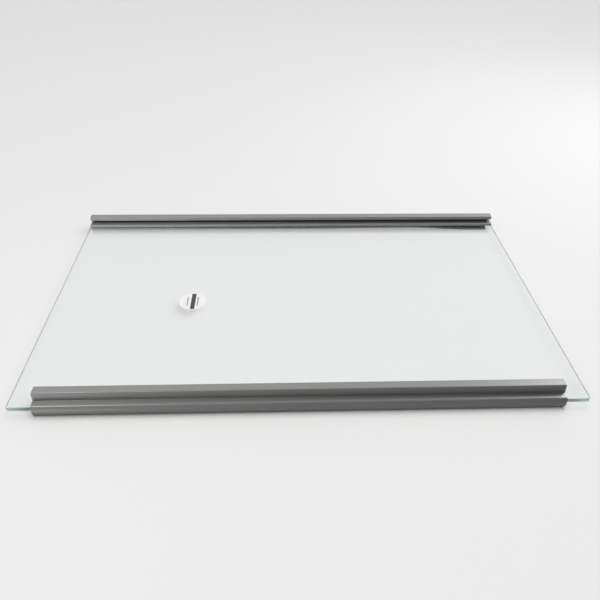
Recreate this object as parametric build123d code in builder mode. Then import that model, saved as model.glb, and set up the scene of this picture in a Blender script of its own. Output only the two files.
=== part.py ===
"""Refrigerator shelf: a glass pane with an extruded grip trim along its front and rear edges.

Millimetres, +Z up, +X along the pane's longer side, the front edge towards -Y. The origin is below the
middle of the pane, on the surface that the trims stand on.
"""
import os

from build123d import *

# Glass pane
glass_length = 520.0
glass_depth = 330.0
glass_thickness = 4.0
glass_corner_radius = 3.0
glass_arris = 0.5

# Bare glass left at each end of the trims
front_trim_setback = 23.0
rear_trim_setback = 0.5

# Fit of the pane in the trim's slot
edge_play = 0.2
face_play = 0.1

# Trim section, outer side: a rounded nose with a step behind it
nose_wall = 2.5
nose_bulge = 1.5
nose_bottom_round = 0.6
step_depth = 8.8
step_fall = 0.6
step_round = 1.8
riser_lean = 0.8

# Trim section, upper part: a jaw over the glass, a neck on it and a rail that overhangs a groove
jaw_thickness = 2.9
jaw_reach = 23.4
jaw_round = 0.9
jaw_lead_in = 0.8
neck_thickness = 2.8
groove_height = 3.6
rail_thickness = 4.2
rail_depth = 9.3
rail_fall = 0.5
rail_front_round = 1.4
rail_back_round = 0.8

# Trim section, lower part: a foot, a ledge for the glass and a springy lip with a flared tip
glass_lift = 5.0
ledge_depth = 2.5
foot_thickness = 1.8
foot_depth = 9.0
lip_thickness = 1.8
lip_span = 8.5
lip_flare = 3.0
lip_lead_in = 1.4

# Rear lip, bent out of line towards its right-hand end: pressed up first, then sagging
bend_start = 240.0
press_from_end = 110.0
press_gap = 0.3
sag_from_end = 26.0
sag_lip_setback = 6.0
sag_floor_gap = 0.2
sag_reach = 1.6
bend_steps = 18

# Round label
label_diameter = 29.0
label_thickness = 0.15
label_x = -113.2
label_y = -13.8

# Heights of the section, built up from the surface below
slot_top = glass_lift + glass_thickness + face_play
jaw_top = slot_top + jaw_thickness
groove_top = jaw_top + groove_height
rail_top = groove_top + rail_thickness
rail_crest = rail_top + rail_fall
step_front = jaw_top - step_fall

# Places across the section, measured inwards from the nose
neck_inside = step_depth + neck_thickness
rail_inside = step_depth + rail_depth
ledge_inside = nose_wall + ledge_depth
lip_ridge = foot_depth + lip_span
lip_reach = lip_ridge + lip_flare

# Lip heights: as extruded, pressed up and sagging
lip_tip = glass_lift - lip_lead_in
pressed_tip = glass_lift - press_gap
sagging_tip = sag_floor_gap + lip_thickness
sagging_ridge = glass_lift - (lip_tip - sagging_tip) * lip_span / (lip_span + lip_flare)

front_trim_length = glass_length - 2 * front_trim_setback
rear_trim_length = glass_length - 2 * rear_trim_setback
nose_y = glass_depth / 2 + edge_play + nose_wall


def eased(share):
    """Ease from 0 to 1 with level ends, and stay level beyond them."""
    share = min(max(share, 0), 1)
    return share * share * (3 - 2 * share)


def between(first, second, share):
    """Value a share of the way from the first to the second."""
    return first + (second - first) * share


def lip_corners(ridge_height, tip_height, reach):
    """Corners of the lip's section, from its root at the foot's inner end to its tip and back."""
    return [
        (foot_depth, 0),
        (foot_depth, foot_thickness),
        (lip_ridge, ridge_height),
        (reach, tip_height),
        (reach, tip_height - lip_thickness),
        (lip_ridge, ridge_height - lip_thickness),
    ]


def bent_lip_corners(from_end):
    """Corners of the rear lip's section at a distance from the trim's right-hand end."""
    pressing = eased((bend_start - from_end) / (bend_start - press_from_end))
    sagging = eased((press_from_end - from_end) / (press_from_end - sag_from_end))
    tip_height = between(between(lip_tip, pressed_tip, pressing), sagging_tip, sagging)
    ridge_height = between(glass_lift, sagging_ridge, sagging)
    return lip_corners(ridge_height, tip_height, lip_reach + sag_reach * sagging)


# The trim's section, drawn once for both trims, and its lip as extruded
with BuildSketch() as grip_section:
    with BuildLine():
        ThreePointArc((nose_bulge, 0), (0, step_front / 2), (nose_bulge, step_front))
        Polyline(
            (nose_bulge, step_front),
            (step_depth - riser_lean, jaw_top),
            (step_depth, rail_crest),
            (rail_inside, rail_top),
            (rail_inside, groove_top),
            (neck_inside, groove_top),
            (neck_inside, jaw_top),
            (jaw_reach, jaw_top),
            (jaw_reach, slot_top),
            (nose_wall, slot_top),
            (nose_wall, glass_lift),
            (ledge_inside, glass_lift),
            (ledge_inside, foot_thickness),
            (foot_depth, foot_thickness),
            (foot_depth, 0),
            (nose_bulge, 0),
        )
    make_face()
    rounded_corners = {
        (nose_bulge, 0): nose_bottom_round,
        (nose_bulge, step_front): step_round,
        (step_depth, rail_crest): rail_front_round,
        (rail_inside, rail_top): rail_back_round,
        (rail_inside, groove_top): rail_back_round,
        (jaw_reach, jaw_top): jaw_round,
        (jaw_reach, slot_top): jaw_lead_in,
    }
    for corner, radius in rounded_corners.items():
        fillet(grip_section.vertices().sort_by_distance(corner)[0], radius)

with BuildSketch() as lip_section:
    Polygon(*lip_corners(glass_lift, lip_tip, lip_reach), align=None)

# Pane with rounded corners and ground edges
with BuildPart() as glass_pane:
    with BuildSketch(Plane.XY.offset(glass_lift)):
        RectangleRounded(glass_length, glass_depth, glass_corner_radius)
    extrude(amount=glass_thickness)
    chamfer(glass_pane.faces().filter_by(Axis.Z).edges(), glass_arris)

# Front trim, with its lip straight from end to end
front_end = Plane(origin=(-front_trim_length / 2, -nose_y, 0), x_dir=(0, 1, 0), z_dir=(1, 0, 0))
with BuildPart() as front_trim:
    with BuildSketch(front_end):
        add(grip_section.sketch)
        add(lip_section.sketch)
    extrude(amount=front_trim_length)

# Rear trim, the same section turned round and drawn from its right-hand end, where its lip is bent
rear_end = Plane(origin=(rear_trim_length / 2, nose_y, 0), x_dir=(0, -1, 0), z_dir=(-1, 0, 0))
with BuildPart() as rear_trim:
    with BuildSketch(rear_end):
        add(grip_section.sketch)
    extrude(amount=rear_trim_length)
    with BuildSketch(rear_end.offset(bend_start)):
        add(lip_section.sketch)
    extrude(amount=rear_trim_length - bend_start)
    for step in range(bend_steps + 1):
        from_end = between(bend_start, sag_lip_setback, step / bend_steps)
        with BuildSketch(rear_end.offset(from_end)):
            Polygon(*bent_lip_corners(from_end), align=None)
    loft(ruled=True)

# Round label on the pane's upper face
with BuildPart() as round_label:
    with BuildSketch(Plane.XY.offset(glass_lift + glass_thickness)):
        with Locations((label_x, label_y)):
            Circle(label_diameter / 2)
    extrude(amount=label_thickness)

glass_pane.part.label = "glass_pane"
front_trim.part.label = "front_trim"
rear_trim.part.label = "rear_trim"
round_label.part.label = "round_label"

os.makedirs("parts", exist_ok=True)
export_step(glass_pane.part, "parts/glass_pane.step")
export_step(front_trim.part, "parts/front_trim.step")
export_step(rear_trim.part, "parts/rear_trim.step")
export_step(round_label.part, "parts/round_label.step")
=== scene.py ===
"""Dresses a refrigerator shelf: a clear glass pane, grip trims along two of its edges and a round label.

Metres, in the same frame as the solids: +Z up, the pane's longer side along X, the front edge towards -Y.
"""

from math import hypot, pi, radians, sqrt
from types import SimpleNamespace

import bmesh
import bpy
from bpy.props import FloatProperty, FloatVectorProperty, IntProperty, PointerProperty
from bpy.types import Operator, Panel, PropertyGroup
from mathutils import Matrix, Vector


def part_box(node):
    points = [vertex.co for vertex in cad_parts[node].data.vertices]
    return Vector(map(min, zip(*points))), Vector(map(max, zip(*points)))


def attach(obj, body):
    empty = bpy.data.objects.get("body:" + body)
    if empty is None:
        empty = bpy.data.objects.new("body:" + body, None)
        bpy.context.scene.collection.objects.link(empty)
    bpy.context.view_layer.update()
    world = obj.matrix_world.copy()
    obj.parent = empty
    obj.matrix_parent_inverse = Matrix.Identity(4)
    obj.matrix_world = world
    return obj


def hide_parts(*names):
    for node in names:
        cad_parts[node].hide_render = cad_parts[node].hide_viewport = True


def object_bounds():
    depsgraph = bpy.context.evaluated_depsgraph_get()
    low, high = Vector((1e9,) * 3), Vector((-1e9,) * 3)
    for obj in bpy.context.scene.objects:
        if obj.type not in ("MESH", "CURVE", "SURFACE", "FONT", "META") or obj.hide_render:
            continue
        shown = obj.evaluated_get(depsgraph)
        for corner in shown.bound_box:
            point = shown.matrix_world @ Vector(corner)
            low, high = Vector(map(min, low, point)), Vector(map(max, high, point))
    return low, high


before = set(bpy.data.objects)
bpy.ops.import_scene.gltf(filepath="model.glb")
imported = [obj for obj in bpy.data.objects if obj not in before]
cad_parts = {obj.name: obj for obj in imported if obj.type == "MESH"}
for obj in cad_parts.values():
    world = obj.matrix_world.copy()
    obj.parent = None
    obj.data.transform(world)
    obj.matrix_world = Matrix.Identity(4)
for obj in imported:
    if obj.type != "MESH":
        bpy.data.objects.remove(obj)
CAD_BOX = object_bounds()
PANE_LOW, PANE_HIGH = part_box("glass_pane")

bl_info = {
    "name": "Refrigerator Glass Shelf",
    "version": (1, 0, 0),
    "blender": (4, 5, 0),
    "location": "3D View > Sidebar > Shelf",
    "description": "Builds a glass shelf with two extruded grip trims and a round label",
    "category": "Object",
}

BODY = "root"
# Names of the pieces and of the floor
PANE = "float_glass_pane"
FRONT_TRIM = "front_grip_trim"
REAR_TRIM = "rear_grip_trim"
LABEL = "round_paper_label"
FLOOR = "floor"
# Edges that turn more sharply than this stay crisp
CREASE_ANGLE = radians(35)
# Slack for telling places on a mesh apart
TOUCH = 1e-5
# Upright share of a level face's direction, and of any face that looks up more than sideways
LEVEL = 0.98
UPWARD = 0.5
# Flat stretches in the finest roundings
FINE_STEPS = 2


# Kinds of setting

def length_setting(label, description, default):
    """A length in metres."""
    return FloatProperty(
        name=label, description=description, default=default, min=0.0, precision=5,
        subtype="DISTANCE", unit="LENGTH",
    )


def count_setting(label, description, default, least=1):
    """A whole number."""
    return IntProperty(name=label, description=description, default=default, min=least)


def share_setting(label, description, default):
    """A share from 0 to 1."""
    return FloatProperty(
        name=label, description=description, default=default, min=0.0, max=1.0, subtype="FACTOR"
    )


def amount_setting(label, description, default):
    """A plain number of nought or more."""
    return FloatProperty(name=label, description=description, default=default, min=0.0)


def power_setting(label, description, default):
    """A light's power in watts."""
    return FloatProperty(name=label, description=description, default=default, min=0.0, unit="POWER")


def angle_setting(label, description, degrees):
    """An angle, given in degrees and kept in radians."""
    return FloatProperty(
        name=label, description=description, default=radians(degrees), subtype="ANGLE", unit="ROTATION"
    )


def colour_setting(label, description, default):
    """A linear colour."""
    return FloatVectorProperty(
        name=label, description=description, default=default, size=3, min=0.0, max=1.0, subtype="COLOR"
    )


def place_setting(label, description, default):
    """A place in metres."""
    return FloatVectorProperty(
        name=label, description=description, default=default, size=3, subtype="XYZ", unit="LENGTH"
    )


def sun_settings(title, height, heading, spread, power):
    """Settings of a broad distant light, by the last word of their names."""
    return {
        "height": angle_setting(f"{title} light height", "Height of the light, as an angle", height),
        "heading": angle_setting(f"{title} light heading", "Turn from straight behind to the right", heading),
        "spread": angle_setting(f"{title} light spread", "Width of the light, as an angle", spread),
        "power": amount_setting(f"{title} light power", "Watts per square metre", power),
    }


def lamp_settings(title, place, target, size, power, spread=180.0):
    """Settings of a square soft light, by the last word of their names."""
    return {
        "place": place_setting(f"{title} light place", "Where the light is", place),
        "target": place_setting(f"{title} light target", "Where the light points", target),
        "size": length_setting(f"{title} light size", "Width of the light", size),
        "spread": angle_setting(f"{title} light spread", "Angle that the light fans out over", spread),
        "power": power_setting(f"{title} light power", "Power of the light", power),
    }


# Lights

# Broad and distant: the trims' main light, a broad and a narrower one over the floor, and one from the right
SUNS = {
    "back": sun_settings("Back", height=56.0, heading=10.0, spread=60.0, power=0.65),
    "high": sun_settings("High", height=76.0, heading=5.0, spread=52.0, power=1.18),
    "label": sun_settings("Label", height=70.0, heading=15.0, spread=34.0, power=0.51),
    "side": sun_settings("Side", height=50.0, heading=98.0, spread=40.0, power=0.7),
}
# Square and soft: two over the floor, two for the trims' right-hand ends and rounded edges, and two low ones
# that reach one trim each from the front
LAMPS = {
    "left": lamp_settings("Left", (-0.77, -0.57, 0.83), (-0.113, -0.014, 0.0), size=0.35, power=2.1),
    "right": lamp_settings("Right", (0.75, 0.45, 0.72), (0.4, 0.2, 0.0), size=0.5, power=2.2),
    "glint": lamp_settings("Glint", (0.98, 0.43, 0.76), (0.237, -0.155, 0.02), size=0.5, power=21.0),
    "shine": lamp_settings(
        "Shine", (-0.61, -0.42, 0.91), (-0.3, 0.0, 0.01), size=0.15, power=1.35, spread=60.0
    ),
    "front": lamp_settings("Front", (-0.55, -0.75, -0.32), (-0.237, -0.167, 0.01), size=0.3, power=1.65),
    "rear": lamp_settings("Rear", (-0.45, -0.7, -0.12), (-0.25, 0.15, 0.01), size=0.4, power=6.0),
}
TRIMS = (FRONT_TRIM, REAR_TRIM)
GROUND = (LABEL, FLOOR)
# What each light reaches, and what alone holds it back. Everything does where nothing is named.
REACH = {
    "back": (TRIMS, ()),
    "high": (GROUND, (PANE, FRONT_TRIM)),
    "label": (GROUND, (PANE, FRONT_TRIM, LABEL)),
    "side": (GROUND, ()),
    "left": (GROUND, ()),
    "right": (TRIMS + GROUND, ()),
    "glint": (TRIMS, ()),
    "shine": (TRIMS, ()),
    "front": ((FRONT_TRIM,), (FRONT_TRIM,)),
    "rear": ((REAR_TRIM,), (REAR_TRIM,)),
}


# Settings

class PaneSettings(PropertyGroup):
    """Glass pane"""

    corner_radius: length_setting("Corner radius", "Rounding of the pane's corners, seen from above", 0.003)
    corner_steps: count_setting("Corner steps", "Flat stretches in each rounded corner", 12)
    arris: length_setting("Arris", "Width ground off each edge of the faces", 0.0005)
    arris_steps: count_setting("Arris steps", "Flat stretches across the ground edge", 3)
    refraction: amount_setting("Refraction", "Index of refraction", 1.52)
    tint: colour_setting("Tint", "Colour that each surface lets through", (1.0, 1.0, 1.0))
    depth_colour: colour_setting("Depth colour", "Colour that deep glass lets through", (0.45, 0.85, 0.87))
    depth_density: amount_setting("Depth density", "Absorption per metre of glass", 4.0)
    rim_roughness: share_setting("Rim roughness", "Roughness of the ground edges", 0.42)
    rim_frost: share_setting("Rim frost", "Share of the ground edges that scatters light", 0.45)
    frost_roughness: share_setting("Frost roughness", "Roughness of the share that scatters light", 0.6)
    rim_colour: colour_setting("Rim colour", "Colour of the front and rear edges", (0.53, 0.86, 0.83))
    # Painted light: the frost on the left and right edges is a lighter, more neutral copy of the front and
    # rear edges' colour. It stands in for the light these edges let through.
    painted_lighter_side_colour: colour_setting("Side colour", "Colour of the left and right edges", (0.88, 0.94, 0.925))
    smudge_roughness: share_setting("Smudges", "Roughness of faint wipe marks on the faces", 0.02)


class TrimSettings(PropertyGroup):
    """Grip trims"""

    nose_wall: length_setting("Nose wall", "Plastic in front of the pane's edge", 0.0025)
    nose_bulge: length_setting("Nose bulge", "How far the nose stands out of its own foot", 0.0015)
    nose_share: share_setting("Nose roundness", "Share of the nose's flanks that its rounding takes up", 0.65)
    nose_steps: count_setting("Nose steps", "Flat stretches round the nose", 16)
    nose_foot_round: length_setting("Nose foot rounding", "Reach of the rounding under the nose", 0.0003)
    gap_height: length_setting("Gap height", "Room between the nose's lower edge and the floor", 0.0009)
    gap_depth: length_setting("Gap depth", "How far the foot is set back behind the nose", 0.0025)
    step_depth: length_setting("Step depth", "From the nose to the front of the rail", 0.0088)
    step_fall: length_setting("Step fall", "Drop of the step towards the nose", 0.0006)
    step_round: length_setting("Step rounding", "Reach of the rounding at the step's outer edge", 0.0011)
    riser_lean: length_setting("Riser lean", "How far the rail's front leans back over its height", 0.0008)
    notch_round: length_setting("Notch rounding", "Reach of the roundings in inner corners", 0.0002)
    face_play: length_setting("Play on the glass", "Room between the pane and the jaw", 0.0001)
    jaw_thickness: length_setting("Jaw thickness", "Plastic over the pane", 0.0029)
    jaw_round: length_setting("Jaw rounding", "Reach of the rounding at the jaw's inner edge", 0.0009)
    jaw_lead_in: length_setting("Jaw lead-in", "Reach of the rounding under the jaw's inner edge", 0.0008)
    neck_thickness: length_setting("Neck thickness", "Plastic between the jaw and the rail", 0.0028)
    groove_height: length_setting("Groove height", "Room between the jaw and the rail", 0.0036)
    rail_thickness: length_setting("Rail thickness", "Height of the rail's inner edge", 0.0042)
    rail_depth: length_setting("Rail depth", "Width of the rail, front to back", 0.0093)
    rail_fall: length_setting("Rail fall", "Drop of the rail's top towards the pane", 0.0005)
    rail_front_round: length_setting("Rail front rounding", "Reach of the rail's outer rounding", 0.00135)
    rail_back_round: length_setting("Rail back rounding", "Reach of the rail's inner roundings", 0.0008)
    ledge_depth: length_setting("Ledge depth", "Width of the ledge under the pane", 0.0025)
    foot_thickness: length_setting("Foot thickness", "Plastic under the ledge", 0.0018)
    foot_depth: length_setting("Foot depth", "From the nose to the root of the lip", 0.009)
    lip_thickness: length_setting("Lip thickness", "Thickness of the springy lip", 0.0018)
    lip_span: length_setting("Lip span", "From the lip's root to its ridge", 0.0085)
    lip_flare: length_setting("Lip flare", "From the lip's ridge to its tip", 0.003)
    lip_lead_in: length_setting("Lip lead-in", "How far the tip stays below the pane", 0.0014)
    lip_round: length_setting("Lip rounding", "Reach of the rounding at the lip's tip", 0.0004)
    round_steps: count_setting("Rounding steps", "Flat stretches in each rounding", 8)
    bend_start: length_setting("Bend start", "Where the rear lip leaves its line, from the end", 0.24)
    press_from_end: length_setting("Press place", "Where the rear lip is pressed up most, from the end", 0.11)
    press_gap: length_setting("Press gap", "Room between the pressed tip and the pane", 0.0003)
    sag_from_end: length_setting("Sag place", "Where the rear lip sags fully, from the end", 0.026)
    sag_setback: length_setting("Sag setback", "Bare stretch between the lip's end and the trim's end", 0.006)
    sag_floor_gap: length_setting("Sag gap", "Room between the sagging tip and the floor", 0.0002)
    sag_reach: length_setting("Sag reach", "How far the sagging tip spreads inwards", 0.0016)
    bend_steps: count_setting("Bend steps", "Stretches in the bent part of the lip", 36)
    cut_edge: length_setting("Cut edge", "Width broken off the saw-cut ends' edges", 0.00015)
    plastic: colour_setting("Plastic", "Colour of the satin plastic", (0.13, 0.1345, 0.1255))
    cut_plastic: colour_setting("Cut plastic", "Colour of the saw-cut ends", (0.17, 0.172, 0.166))
    refraction: amount_setting("Refraction", "Index of refraction", 1.5)
    gloss_roughness: share_setting("Roughness", "Roughness of the extruded faces", 0.38)
    cut_roughness: share_setting("Cut roughness", "Roughness of the saw-cut ends", 0.68)
    die_line_depth: length_setting("Die line depth", "Depth of the fine lines along the trim", 0.000006)
    grain_depth: length_setting("Grain depth", "Depth of the plastic's grain", 0.0000025)
    saw_mark_depth: length_setting("Saw mark depth", "Depth of the marks on the cut ends", 0.000016)


class LabelSettings(PropertyGroup):
    """Round label"""

    glue: length_setting("Glue", "Thickness of the glue under the paper", 0.00003)
    rim_round: length_setting("Rim rounding", "Reach of the rounding at the paper's upper rim", 0.00005)
    rim_steps: count_setting("Rim steps", "Flat stretches round the rim", 128, least=3)
    band_width: length_setting("Band width", "Width of the dark band across the middle", 0.0046)
    band_offset: length_setting("Band offset", "From the label's middle to the band's", 0.0006)
    band_length: length_setting("Band length", "Length of the dark band", 0.0272)
    rule_offset: length_setting("Rule offset", "From the label's middle to each thin rule", 0.0054)
    rule_width: length_setting("Rule width", "Width of the thin rules", 0.0012)
    rule_length: length_setting("Rule length", "Length of the thin rules", 0.015)
    print_blur: length_setting("Print blur", "Softness of the print's edges", 0.0001)
    ink_cover: share_setting("Ink cover", "Share of the paper that the print hides everywhere", 0.82)
    ink_fibres: share_setting("Ink on fibres", "Further share that the print hides along the fibres", 0.24)
    translucency: share_setting("Translucency", "Share of the light that the thin paper lets through", 0.4)
    paper: colour_setting("Paper", "Colour of the coated paper", (0.84, 0.84, 0.835))
    band: colour_setting("Band", "Colour of the dark band", (0.03, 0.033, 0.028))
    rule: colour_setting("Rules", "Colour of the thin rules", (0.3, 0.3, 0.3))
    refraction: amount_setting("Refraction", "Index of refraction", 1.45)
    paper_roughness: share_setting("Roughness", "Roughness of the coated paper", 0.5)
    band_gloss: share_setting("Band gloss", "How much smoother the dark band is", 0.08)
    fibre_depth: length_setting("Fibre depth", "Depth of the paper's fibres", 0.00002)


class StageSettings(PropertyGroup):
    """Stage"""

    floor_size: length_setting("Floor size", "Half the floor's width", 6.0)
    floor_colour: colour_setting("Floor colour", "Colour of the pale floor", (0.68, 0.68, 0.68))
    floor_refraction: amount_setting("Floor refraction", "Index of refraction of the floor", 1.3)
    floor_roughness: share_setting("Floor roughness", "Roughness of the floor", 0.75)
    camera_place: place_setting("Camera place", "Where the camera stands", (-0.02314, -0.53319, 0.40154))
    camera_heading: angle_setting("Camera heading", "Turn of the camera about the vertical", -2.8277)
    camera_pitch: angle_setting("Camera pitch", "How far the camera looks down", 37.0156)
    camera_roll: angle_setting("Camera roll", "Turn of the camera about its own line of sight", 1.1656)
    lens: FloatProperty(
        name="Lens", description="Focal length for a full-frame sensor", default=36.0, unit="CAMERA"
    )
    sky: amount_setting("Sky", "Brightness of the light from all round", 0.4)
    sky_colour: colour_setting("Sky colour", "Colour of the light from all round", (0.9, 0.9, 1.0))
    sky_slope: share_setting("Sky slope", "How much the sky brightens behind and darkens in front", 0.92)
    backdrop: colour_setting("Backdrop", "Colour behind the floor and in reflections", (0.69, 0.705, 0.72))
    sun_colour: colour_setting("Sun colour", "Colour of the distant lights", (1.0, 1.0, 0.94))


# Each light adds its own settings to the stage's
for light_name, light_settings in {**SUNS, **LAMPS}.items():
    for part, setting in light_settings.items():
        StageSettings.__annotations__[f"{light_name}_{part}"] = setting


# Shader nodes

class Value:
    """A number from a node's output. Arithmetic on it adds Math nodes to its tree."""

    def __init__(self, socket):
        self.socket = socket

    def math(self, operation, *operands, clamp=False):
        """One Math node on the given numbers."""
        settings = {"operation": operation, "use_clamp": clamp}
        node = add_node(self.socket.id_data, "ShaderNodeMath", settings, dict(enumerate(operands)))
        return Value(node.outputs[0])

    def __add__(self, other):
        return self.math("ADD", self, other)

    def __sub__(self, other):
        return self.math("SUBTRACT", self, other)

    def __rsub__(self, other):
        return self.math("SUBTRACT", other, self)

    def __mul__(self, other):
        return self.math("MULTIPLY", self, other)

    def __truediv__(self, other):
        return self.math("DIVIDE", self, other)

    def __gt__(self, other):
        return self.math("GREATER_THAN", self, other)

    def __lt__(self, other):
        return self.math("LESS_THAN", self, other)

    def __abs__(self):
        return self.math("ABSOLUTE", self)

    def clamped(self):
        """The number held between 0 and 1."""
        return self.math("ADD", self, 0.0, clamp=True)

    def rising(self, start, slope):
        """0 up to a start, then up to 1 at a slope."""
        return ((self - start) * slope).clamped()

    def swing(self, width):
        """A noise's swing about its middle, given a width."""
        return (self - 0.5) * width

    __radd__ = __add__
    __rmul__ = __mul__


def add_node(tree, kind, settings=None, sockets=None):
    """Add a node: its settings first, then a value or a link for each socket named."""
    node = tree.nodes.new(kind)
    for name, setting in (settings or {}).items():
        setattr(node, name, setting)
    for name, given in (sockets or {}).items():
        source = given.socket if isinstance(given, Value) else given
        if isinstance(source, bpy.types.NodeSocket):
            tree.links.new(source, node.inputs[name])
        else:
            node.inputs[name].default_value = source
    return node


def mix_shaders(tree, factor, first, second):
    """Mix two shaders: the second one's share is the factor."""
    return add_node(tree, "ShaderNodeMixShader", sockets={0: factor, 1: first, 2: second}).outputs[0]


def opaque(colour):
    """A colour with its alpha, or a link as it is."""
    return colour if isinstance(colour, bpy.types.NodeSocket) else (*colour, 1.0)


def shaded(colour, share):
    """A colour made lighter or darker by a share."""
    return tuple(min(channel * (1 + share), 1.0) for channel in colour)


def evenly(waves):
    """The same number of waves along X, Y and Z."""
    return (waves, waves, waves)


class Finish:
    """A material and the nodes that make it."""

    def __init__(self, name):
        self.material = bpy.data.materials.new(name)
        self.material.use_nodes = True
        self.tree = self.material.node_tree
        self.tree.nodes.clear()

    def add(self, kind, settings=None, sockets=None):
        """Add a node of a kind, with its settings and sockets."""
        return add_node(self.tree, kind, settings, sockets)

    def place(self, centre=(0.0, 0.0, 0.0), scale=(1.0, 1.0, 1.0), turn=(0.0, 0.0, 0.0)):
        """Where a point is on the piece, from a centre, stretched and turned."""
        origin = [-middle * stretch for middle, stretch in zip(centre, scale)]
        source = self.add("ShaderNodeTexCoord").outputs["Object"]
        sockets = {"Vector": source, "Location": origin, "Rotation": turn, "Scale": scale}
        return self.add("ShaderNodeMapping", {"vector_type": "POINT"}, sockets).outputs["Vector"]

    def facing(self):
        """How far the surface faces along X, Y and Z."""
        return self.parts_of(self.add("ShaderNodeNewGeometry").outputs["True Normal"])

    def parts_of(self, vector):
        """The three numbers of a vector."""
        split = self.add("ShaderNodeSeparateXYZ", sockets={"Vector": vector})
        return [Value(output) for output in split.outputs]

    def noise(self, waves, detail, roughness=0.5, turn=(0.0, 0.0, 0.0)):
        """Cloudy noise from 0 to 1, with so many waves per metre along X, Y and Z."""
        vector = self.place(scale=waves, turn=turn)
        sockets = {"Vector": vector, "Scale": 1.0, "Detail": detail, "Roughness": roughness}
        return Value(self.add("ShaderNodeTexNoise", sockets=sockets).outputs["Fac"])

    def blend(self, factor, first, second):
        """A colour between two colours."""
        sockets = {0: factor, 6: opaque(first), 7: opaque(second)}
        return self.add("ShaderNodeMix", {"data_type": "RGBA"}, sockets).outputs[2]

    def mottled(self, factor, colour, darker, lighter):
        """A colour that goes from darker to lighter by shares of itself."""
        return self.blend(factor, shaded(colour, -darker), shaded(colour, lighter))

    def relief(self, height):
        """A surface direction that follows a height in metres."""
        sockets = {"Height": height, "Distance": 1.0, "Strength": 1.0}
        return self.add("ShaderNodeBump", sockets=sockets).outputs["Normal"]

    def principled(self, sockets):
        """The main surface shader."""
        return self.add("ShaderNodeBsdfPrincipled", sockets=sockets).outputs["BSDF"]

    def finished(self, surface, volume=None):
        """Join the shaders to the output and give the material."""
        sockets = {"Surface": surface}
        if volume:
            sockets["Volume"] = volume
        self.add("ShaderNodeOutputMaterial", sockets=sockets)
        return self.material


# Finishes

def clear_glass(pane):
    """Clear float glass: faint wipe marks on its faces, frosted at its ground edges, green in its depth. The
    frost on its left and right edges is painted lighter, as painted light.
    """
    finish = Finish("float_glass")
    _, facing_front, facing_up = finish.facing()
    rim = abs(facing_up) < LEVEL
    wiped = finish.noise(waves=(6.0, 22.0, 6.0), detail=6.0, turn=(0.0, 0.0, 0.5))
    smudges = wiped.rising(start=0.52, slope=4.0)
    surface = finish.principled({
        "Base Color": opaque(pane.tint),
        "Roughness": rim * pane.rim_roughness + (1.0 - rim) * smudges * pane.smudge_roughness,
        "IOR": pane.refraction,
        "Transmission Weight": 1.0,
    })
    # The frost takes the edge colour at the front and rear, and the lighter side colour at the left and
    # right. The side edges carry painted light.
    frost = finish.principled({
        "Base Color": finish.blend(abs(facing_front), pane.painted_lighter_side_colour, pane.rim_colour),
        "Roughness": pane.frost_roughness,
        "IOR": pane.refraction,
    })
    # Soft light and shadows go straight through
    passing = finish.add("ShaderNodeBsdfTransparent", sockets={"Color": opaque(pane.tint)}).outputs[0]
    path = finish.add("ShaderNodeLightPath").outputs
    for ray in ("Is Diffuse Ray", "Is Shadow Ray"):
        surface = mix_shaders(finish.tree, path[ray], surface, passing)
    surface = mix_shaders(finish.tree, rim * pane.rim_frost, surface, frost)
    depth = {"Color": opaque(pane.depth_colour), "Density": pane.depth_density}
    return finish.finished(surface, finish.add("ShaderNodeVolumeAbsorption", sockets=depth).outputs[0])


def extruded_plastic(trim, name, half_length):
    """Satin grey plastic: fine lengthwise die lines, cloudy gloss, light scuffs and matt saw-cut ends."""
    finish = Finish(name)
    along, _, _ = finish.parts_of(finish.place())
    cut_end = abs(along) > half_length - TOUCH
    die_lines = finish.noise(waves=(1.5, 1600.0, 1600.0), detail=3.0)
    bands = finish.noise(waves=(2.0, 260.0, 260.0), detail=1.0)
    clouds = finish.noise(waves=(18.0, 60.0, 60.0), detail=4.0)
    scuff_lines = finish.noise(waves=(30.0, 1100.0, 1100.0), detail=2.0)
    scuffs = scuff_lines.rising(start=0.66, slope=8.0) * clouds
    grain = finish.noise(waves=evenly(5200.0), detail=2.0)
    saw_lines = finish.noise(waves=(1.0, 900.0, 5200.0), detail=2.0, turn=(0.5, 0.0, 0.0))

    tone = (0.5 + bands.swing(0.5) + clouds.swing(0.5) + scuffs * 0.5).clamped()
    extruded = finish.mottled(tone, trim.plastic, darker=0.05, lighter=0.05)
    sawn = finish.mottled(saw_lines, trim.cut_plastic, darker=0.12, lighter=0.12)
    satin = trim.gloss_roughness + clouds.swing(0.08) + die_lines.swing(0.06) + scuffs * 0.1
    drawn_relief = die_lines * trim.die_line_depth + grain * trim.grain_depth
    sawn_relief = saw_lines * trim.saw_mark_depth
    surface = finish.principled({
        "Base Color": finish.blend(cut_end, extruded, sawn),
        "Roughness": cut_end * trim.cut_roughness + (1.0 - cut_end) * satin,
        "IOR": trim.refraction,
        "Normal": finish.relief((1.0 - cut_end) * drawn_relief + cut_end * sawn_relief),
    })
    return finish.finished(surface)


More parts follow.
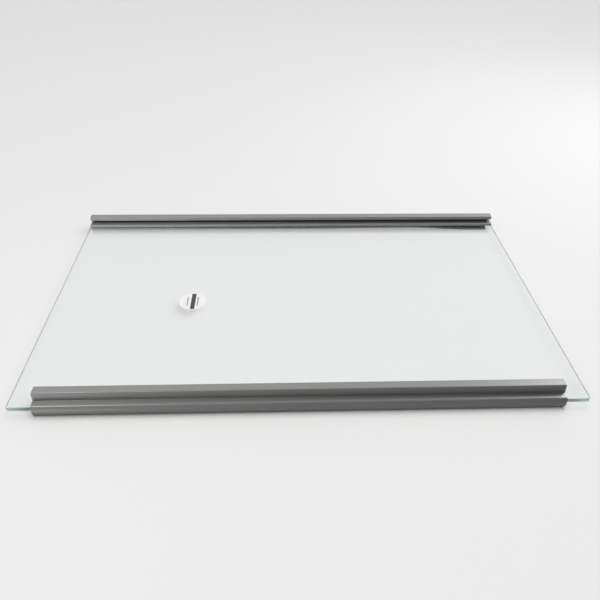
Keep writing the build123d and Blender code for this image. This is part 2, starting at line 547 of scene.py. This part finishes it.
def printed_paper(label, centre):
    """White coated paper with a plain dark band across its middle and a thin grey rule on either side."""
    finish = Finish("printed_paper")
    across, along, _ = finish.parts_of(finish.place(centre=centre))
    _, _, facing_up = finish.facing()

    def within(distance, limit):
        """1 nearer than a limit and 0 further away, with a soft edge."""
        return ((limit - abs(distance)) / label.print_blur + 0.5).clamped()

    fibres = finish.noise(waves=evenly(4200.0), detail=4.0, roughness=0.65)
    mottle = finish.noise(waves=evenly(420.0), detail=3.0)
    ink = (label.ink_cover + fibres * label.ink_fibres) * (facing_up > UPWARD)
    band = within(across - label.band_offset, label.band_width / 2)
    band = band * within(along, label.band_length / 2) * ink
    rule = within(abs(across) - label.rule_offset, label.rule_width / 2)
    rule = rule * within(along, label.rule_length / 2) * ink
    paper = finish.mottled(mottle, label.paper, darker=0.03, lighter=0.02)
    ruled = finish.blend(rule.clamped(), paper, label.rule)
    banded = finish.blend(band.clamped(), ruled, label.band)
    surface = finish.principled({
        "Base Color": banded,
        "Roughness": label.paper_roughness + mottle.swing(0.2) - band * label.band_gloss,
        "IOR": label.refraction,
        "Normal": finish.relief(fibres * label.fibre_depth),
    })
    through = finish.add("ShaderNodeBsdfTranslucent", sockets={"Color": banded}).outputs[0]
    return finish.finished(mix_shaders(finish.tree, label.translucency, surface, through))


def pale_floor(stage):
    """Matt pale floor with the faintest cloudiness."""
    finish = Finish("pale_floor")
    clouds = finish.noise(waves=evenly(3.0), detail=3.0)
    surface = finish.principled({
        "Base Color": finish.mottled(clouds, stage.floor_colour, darker=0.008, lighter=0.008),
        "Roughness": stage.floor_roughness,
        "IOR": stage.floor_refraction,
    })
    return finish.finished(surface)


# Shaping

def eased(share):
    """Ease from 0 to 1 with level ends, and stay level beyond them."""
    share = min(max(share, 0.0), 1.0)
    return share * share * (3 - 2 * share)


def between(first, second, share):
    """Value a share of the way from the first to the second."""
    return first + (second - first) * share


def bevel(bm, geometry, reach, steps, affect="EDGES"):
    """Round edges or corners over a reach along the faces beside them."""
    bmesh.ops.bevel(
        bm, geom=geometry, offset=reach, offset_type="OFFSET", segments=steps, profile=0.5, affect=affect,
        material=-1, clamp_overlap=True,
    )


def extrude_end(bm, face, travel):
    """Extrude an end face along a vector and give the new end face."""
    # With its edges named, a face that already closes a solid isn't left behind inside it
    grown = bmesh.ops.extrude_face_region(bm, geom=[face, *face.edges])["geom"]
    corners = [item for item in grown if isinstance(item, bmesh.types.BMVert)]
    bmesh.ops.translate(bm, verts=corners, vec=travel)
    return next(item for item in grown if isinstance(item, bmesh.types.BMFace))


def shelf_piece(bm, name, node, material):
    """Turn a finished mesh into a piece of the shelf that stands for one of its solids."""
    bmesh.ops.recalc_face_normals(bm, faces=bm.faces[:])
    for face in bm.faces:
        face.smooth = True
    for edge in bm.edges:
        edge.smooth = edge.calc_face_angle(0.0) < CREASE_ANGLE
    mesh = bpy.data.meshes.new(name)
    bm.to_mesh(mesh)
    bm.free()
    mesh.materials.append(material)
    piece = bpy.data.objects.new(name, mesh)
    bpy.context.scene.collection.objects.link(piece)
    # Broad faces stay flat to the eye beside their narrow roundings
    piece.modifiers.new("even_shading", "WEIGHTED_NORMAL").keep_sharp = True
    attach(piece, BODY)
    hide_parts(node)
    return piece


def section_corners(trim, jaw_reach):
    """The trim's section as corners: inwards from the nose, up from the floor, reach of the rounding."""
    lift = PANE_LOW.z
    slot_top = PANE_HIGH.z + trim.face_play
    jaw_top = slot_top + trim.jaw_thickness
    groove_top = jaw_top + trim.groove_height
    rail_top = groove_top + trim.rail_thickness
    step_front = jaw_top - trim.step_fall
    neck_inside = trim.step_depth + trim.neck_thickness
    rail_inside = trim.step_depth + trim.rail_depth
    ledge_inside = trim.nose_wall + trim.ledge_depth
    lip_ridge = trim.foot_depth + trim.lip_span
    lip_reach = lip_ridge + trim.lip_flare
    lip_tip = lift - trim.lip_lead_in
    # The nose is a blunt point, rounded until it only just reaches the front
    rounded_off = (2 - sqrt(2)) * trim.nose_share
    nose_point = trim.nose_bulge * rounded_off / (1 - rounded_off)
    nose_flank = hypot(step_front / 2, trim.nose_bulge + nose_point)
    nose_foot = between(trim.nose_bulge, -nose_point, trim.gap_height / (step_front / 2))
    gap_inside = nose_foot + trim.gap_depth
    return [
        (gap_inside, 0.0, 0.0),
        (gap_inside, trim.gap_height, 0.0),
        (nose_foot, trim.gap_height, trim.nose_foot_round),
        (-nose_point, step_front / 2, nose_flank * trim.nose_share),
        (trim.nose_bulge, step_front, trim.step_round),
        (trim.step_depth - trim.riser_lean, jaw_top, trim.notch_round),
        (trim.step_depth, rail_top + trim.rail_fall, trim.rail_front_round),
        (rail_inside, rail_top, trim.rail_back_round),
        (rail_inside, groove_top, trim.rail_back_round),
        (neck_inside, groove_top, trim.notch_round),
        (neck_inside, jaw_top, trim.notch_round),
        (jaw_reach, jaw_top, trim.jaw_round),
        (jaw_reach, slot_top, trim.jaw_lead_in),
        (trim.nose_wall, slot_top, 0.0),
        (trim.nose_wall, lift, 0.0),
        (ledge_inside, lift, 0.0),
        (ledge_inside, trim.foot_thickness, trim.notch_round),
        (trim.foot_depth, trim.foot_thickness, 0.0),
        (lip_ridge, lift, 0.0),
        (lip_reach, lip_tip, trim.lip_round),
        (lip_reach, lip_tip - trim.lip_thickness, trim.lip_round),
        (lip_ridge, lift - trim.lip_thickness, 0.0),
        (trim.foot_depth, 0.0, 0.0),
    ]


def section_face(bm, trim, start, inwards, jaw_reach):
    """Draw the trim's section at its left-hand end, with its corners rounded, and give its face."""
    corners = section_corners(trim, jaw_reach)
    points = [bm.verts.new((start.x, start.y + inwards * depth, height)) for depth, height, _ in corners]
    bm.faces.new(points)
    for point, (_, _, reach) in zip(points, corners):
        if reach:
            steps = trim.nose_steps if reach > trim.rail_front_round else trim.round_steps
            bevel(bm, [point], reach, steps, affect="VERTICES")
    bm.faces.ensure_lookup_table()
    return bm.faces[0]


def bend_lip(bm, trim, nose_y, end_x):
    """Bend the rear lip towards its right-hand end: pressed up against the pane first, then sagging."""
    lift = PANE_LOW.z
    lip_tip = lift - trim.lip_lead_in
    pressed_tip = lift - trim.press_gap
    sagging_tip = trim.sag_floor_gap + trim.lip_thickness
    sagging_ridge = lift - (lip_tip - sagging_tip) * trim.lip_span / (trim.lip_span + trim.lip_flare)
    for point in bm.verts:
        out_of_root = abs(point.co.y - nose_y) - trim.foot_depth
        if out_of_root < TOUCH or point.co.z > lift + TOUCH:
            continue
        from_end = end_x - point.co.x
        pressing = eased((trim.bend_start - from_end) / (trim.bend_start - trim.press_from_end))
        sagging = eased((trim.press_from_end - from_end) / (trim.press_from_end - trim.sag_from_end))
        ridge_rise = between(0.0, sagging_ridge - lift, sagging)
        tip_rise = between(between(lip_tip, pressed_tip, pressing), sagging_tip, sagging) - lip_tip
        to_ridge = min(out_of_root / trim.lip_span, 1.0)
        past_ridge = max((out_of_root - trim.lip_span) / trim.lip_flare, 0.0)
        point.co.z += between(ridge_rise * to_ridge, tip_rise, past_ridge)
        point.co.y -= trim.sag_reach * sagging * past_ridge


def break_cut_edges(bm, reach):
    """Break the sharp edges that stand out round the saw-cut ends."""
    bm.normal_update()
    bmesh.ops.recalc_face_normals(bm, faces=bm.faces[:])
    ends = [face for face in bm.faces if abs(face.normal.x) > 1 - TOUCH]
    bevel(bm, list({edge for face in ends for edge in face.edges if edge.is_convex}), reach, FINE_STEPS)


# Operators

class SHELF_OT_pane(Operator):
    """Build the glass pane with its rounded corners and ground edges"""

    bl_idname = "shelf.pane"
    bl_label = "Glass pane"
    bl_options = {"REGISTER", "UNDO"}

    def execute(self, context):
        pane = context.scene.shelf_pane
        bm = bmesh.new()
        bmesh.ops.create_cube(bm, size=1.0)
        bmesh.ops.scale(bm, vec=PANE_HIGH - PANE_LOW, verts=bm.verts)
        bmesh.ops.translate(bm, vec=(PANE_HIGH + PANE_LOW) / 2, verts=bm.verts)
        upright = [edge for edge in bm.edges if abs(edge.verts[0].co.z - edge.verts[1].co.z) > TOUCH]
        bevel(bm, upright, pane.corner_radius, pane.corner_steps)
        level = [face for face in bm.faces if abs(face.normal.z) > UPWARD]
        bevel(bm, list({edge for face in level for edge in face.edges}), pane.arris, pane.arris_steps)
        shelf_piece(bm, PANE, "glass_pane", clear_glass(pane))
        return {"FINISHED"}


class SHELF_OT_trims(Operator):
    """Build the two grip trims, the rear one with its bent lip"""

    bl_idname = "shelf.trims"
    bl_label = "Grip trims"
    bl_options = {"REGISTER", "UNDO"}

    def execute(self, context):
        trim = context.scene.shelf_trims
        low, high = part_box("front_trim")
        bm = bmesh.new()
        end = section_face(bm, trim, low, 1, high.y - low.y)
        extrude_end(bm, end, (high.x - low.x, 0.0, 0.0))
        self.finish_trim(bm, trim, FRONT_TRIM, "front_trim", high.x)

        low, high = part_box("rear_trim")
        bm = bmesh.new()
        end = section_face(bm, trim, Vector((low.x, high.y, low.z)), -1, high.y - low.y)
        stretches = [high.x - low.x - trim.bend_start]
        stretches += [(trim.bend_start - trim.sag_setback) / trim.bend_steps] * trim.bend_steps
        for stretch in stretches:
            end = extrude_end(bm, end, (stretch, 0.0, 0.0))
        root = [point for point in end.verts if abs(high.y - point.co.y - trim.foot_depth) < TOUCH]
        lip_end, _ = bmesh.utils.face_split(end, *root)
        grip_end = max((end, lip_end), key=lambda face: face.calc_area())
        extrude_end(bm, grip_end, (trim.sag_setback, 0.0, 0.0))
        bend_lip(bm, trim, high.y, high.x)
        self.finish_trim(bm, trim, REAR_TRIM, "rear_trim", high.x)
        return {"FINISHED"}

    def finish_trim(self, bm, trim, name, node, half_length):
        """Break a trim's cut edges and dress it."""
        break_cut_edges(bm, trim.cut_edge)
        shelf_piece(bm, name, node, extruded_plastic(trim, name + "_plastic", half_length))


class SHELF_OT_label(Operator):
    """Build the round paper label on the pane"""

    bl_idname = "shelf.label"
    bl_label = "Round label"
    bl_options = {"REGISTER", "UNDO"}

    def execute(self, context):
        label = context.scene.shelf_label
        low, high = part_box("round_label")
        centre = (low + high) / 2
        bm = bmesh.new()
        radius = (high.x - low.x) / 2
        bmesh.ops.create_circle(bm, cap_ends=True, segments=label.rim_steps, radius=radius)
        bmesh.ops.translate(bm, vec=(centre.x, centre.y, low.z + label.glue), verts=bm.verts)
        bm.faces.ensure_lookup_table()
        top = extrude_end(bm, bm.faces[0], (0.0, 0.0, high.z - low.z - label.glue))
        bevel(bm, top.edges[:], label.rim_round, FINE_STEPS)
        shelf_piece(bm, LABEL, "round_label", printed_paper(label, centre))
        return {"FINISHED"}


class SHELF_OT_stage(Operator):
    """Set the pale floor, the soft light and the camera"""

    bl_idname = "shelf.stage"
    bl_label = "Stage"
    bl_options = {"REGISTER", "UNDO"}

    def execute(self, context):
        stage = context.scene.shelf_stage
        self.lay_floor(context, stage)
        self.light_sky(context, stage)
        for name in SUNS:
            self.hang_sun(context, stage, name)
        for name in LAMPS:
            self.hang_lamp(context, stage, name)
        self.set_camera(context, stage)
        context.scene.view_settings.view_transform = "Standard"
        return {"FINISHED"}

    def lay_floor(self, context, stage):
        """A wide plain floor just under the trims' feet."""
        bm = bmesh.new()
        bmesh.ops.create_grid(bm, x_segments=1, y_segments=1, size=stage.floor_size)
        bmesh.ops.translate(bm, vec=(0.0, 0.0, CAD_BOX[0].z - TOUCH), verts=bm.verts)
        mesh = bpy.data.meshes.new(FLOOR)
        bm.to_mesh(mesh)
        bm.free()
        mesh.materials.append(pale_floor(stage))
        floor = bpy.data.objects.new(FLOOR, mesh)
        context.scene.collection.objects.link(floor)

    def light_sky(self, context, stage):
        """Soft light from all round, brighter behind the shelf than in front of it."""
        world = bpy.data.worlds.new("studio")
        world.use_nodes = True
        tree = world.node_tree
        tree.nodes.clear()
        direction = add_node(tree, "ShaderNodeTexCoord").outputs["Generated"]
        split = add_node(tree, "ShaderNodeSeparateXYZ", sockets={"Vector": direction})
        strength = stage.sky * (1.0 + stage.sky_slope * Value(split.outputs["Y"]))
        sockets = {"Color": opaque(stage.sky_colour), "Strength": strength}
        surface = add_node(tree, "ShaderNodeBackground", sockets=sockets).outputs[0]
        # The camera and mirror reflections see a plain backdrop in place of the sky
        sockets = {"Color": opaque(stage.backdrop)}
        backdrop = add_node(tree, "ShaderNodeBackground", sockets=sockets).outputs[0]
        path = add_node(tree, "ShaderNodeLightPath").outputs
        for ray in ("Is Camera Ray", "Is Glossy Ray"):
            surface = mix_shaders(tree, path[ray], surface, backdrop)
        add_node(tree, "ShaderNodeOutputWorld", sockets={"Surface": surface})
        context.scene.world = world

    def hang_sun(self, context, stage, name):
        """Add a broad distant light at a height, turned from straight behind the shelf."""
        sun = self.own_settings(stage, name, SUNS)
        lamp = self.add_light(context, name, "SUN", sun.power)
        lamp.data.angle = sun.spread
        lamp.data.color = stage.sun_colour
        lamp.rotation_euler = (sun.height - pi / 2, 0.0, -sun.heading)

    def hang_lamp(self, context, stage, name):
        """Add a square soft light that points at a target."""
        soft = self.own_settings(stage, name, LAMPS)
        lamp = self.add_light(context, name, "AREA", soft.power)
        lamp.data.size = soft.size
        lamp.data.spread = soft.spread
        lamp.location = soft.place
        lamp.rotation_euler = (Vector(soft.target) - Vector(soft.place)).to_track_quat("-Z", "Y").to_euler()

    def own_settings(self, stage, name, lights):
        """One light's settings, by the last word of their names."""
        return SimpleNamespace(**{part: getattr(stage, f"{name}_{part}") for part in lights[name]})

    def add_light(self, context, name, kind, power):
        """Add a light that reaches its own pieces only."""
        light = bpy.data.lights.new(name + "_light", kind)
        light.energy = power
        lamp = bpy.data.objects.new(light.name, light)
        context.scene.collection.objects.link(lamp)
        lit, blockers = REACH[name]
        lamp.light_linking.receiver_collection = self.gather("lit_by_" + lamp.name, lit)
        if blockers:
            lamp.light_linking.blocker_collection = self.gather("holding_back_" + lamp.name, blockers)
        return lamp

    def gather(self, name, pieces):
        """Put pieces in a collection of their own."""
        gathered = bpy.data.collections.new(name)
        for piece in pieces:
            gathered.objects.link(bpy.data.objects[piece])
        return gathered

    def set_camera(self, context, stage):
        """The camera in front of the shelf, looking down on it."""
        camera = bpy.data.objects.new("camera", bpy.data.cameras.new("camera"))
        camera.data.lens = stage.lens
        turn = (
            Matrix.Rotation(stage.camera_heading, 4, "Z")
            @ Matrix.Rotation(pi / 2 - stage.camera_pitch, 4, "X")
            @ Matrix.Rotation(stage.camera_roll, 4, "Z")
        )
        camera.matrix_world = Matrix.Translation(stage.camera_place) @ turn
        context.scene.collection.objects.link(camera)
        context.scene.camera = camera


class SHELF_PT_sidebar(Panel):
    """Settings and build steps of the shelf"""

    bl_idname = "SHELF_PT_sidebar"
    bl_label = "Refrigerator Glass Shelf"
    bl_space_type = "VIEW_3D"
    bl_region_type = "UI"
    bl_category = "Shelf"

    def draw(self, context):
        for settings_name, (group, operator) in BUILD_STEPS.items():
            box = self.layout.box()
            box.operator(operator.bl_idname)
            settings = getattr(context.scene, settings_name)
            for name in group.__annotations__:
                box.prop(settings, name)


# What is built, in order: where its settings are kept, their group and the operator
BUILD_STEPS = {
    "shelf_pane": (PaneSettings, SHELF_OT_pane),
    "shelf_trims": (TrimSettings, SHELF_OT_trims),
    "shelf_label": (LabelSettings, SHELF_OT_label),
    "shelf_stage": (StageSettings, SHELF_OT_stage),
}


def register():
    for settings_name, (group, operator) in BUILD_STEPS.items():
        bpy.utils.register_class(group)
        bpy.utils.register_class(operator)
        setattr(bpy.types.Scene, settings_name, PointerProperty(type=group))
    bpy.utils.register_class(SHELF_PT_sidebar)


def unregister():
    bpy.utils.unregister_class(SHELF_PT_sidebar)
    for settings_name, (group, operator) in reversed(BUILD_STEPS.items()):
        delattr(bpy.types.Scene, settings_name)
        bpy.utils.unregister_class(operator)
        bpy.utils.unregister_class(group)


def main():
    register()
    bpy.ops.shelf.pane()
    bpy.ops.shelf.trims()
    bpy.ops.shelf.label()
    bpy.ops.shelf.stage()


if __name__ == "__main__":
    main()
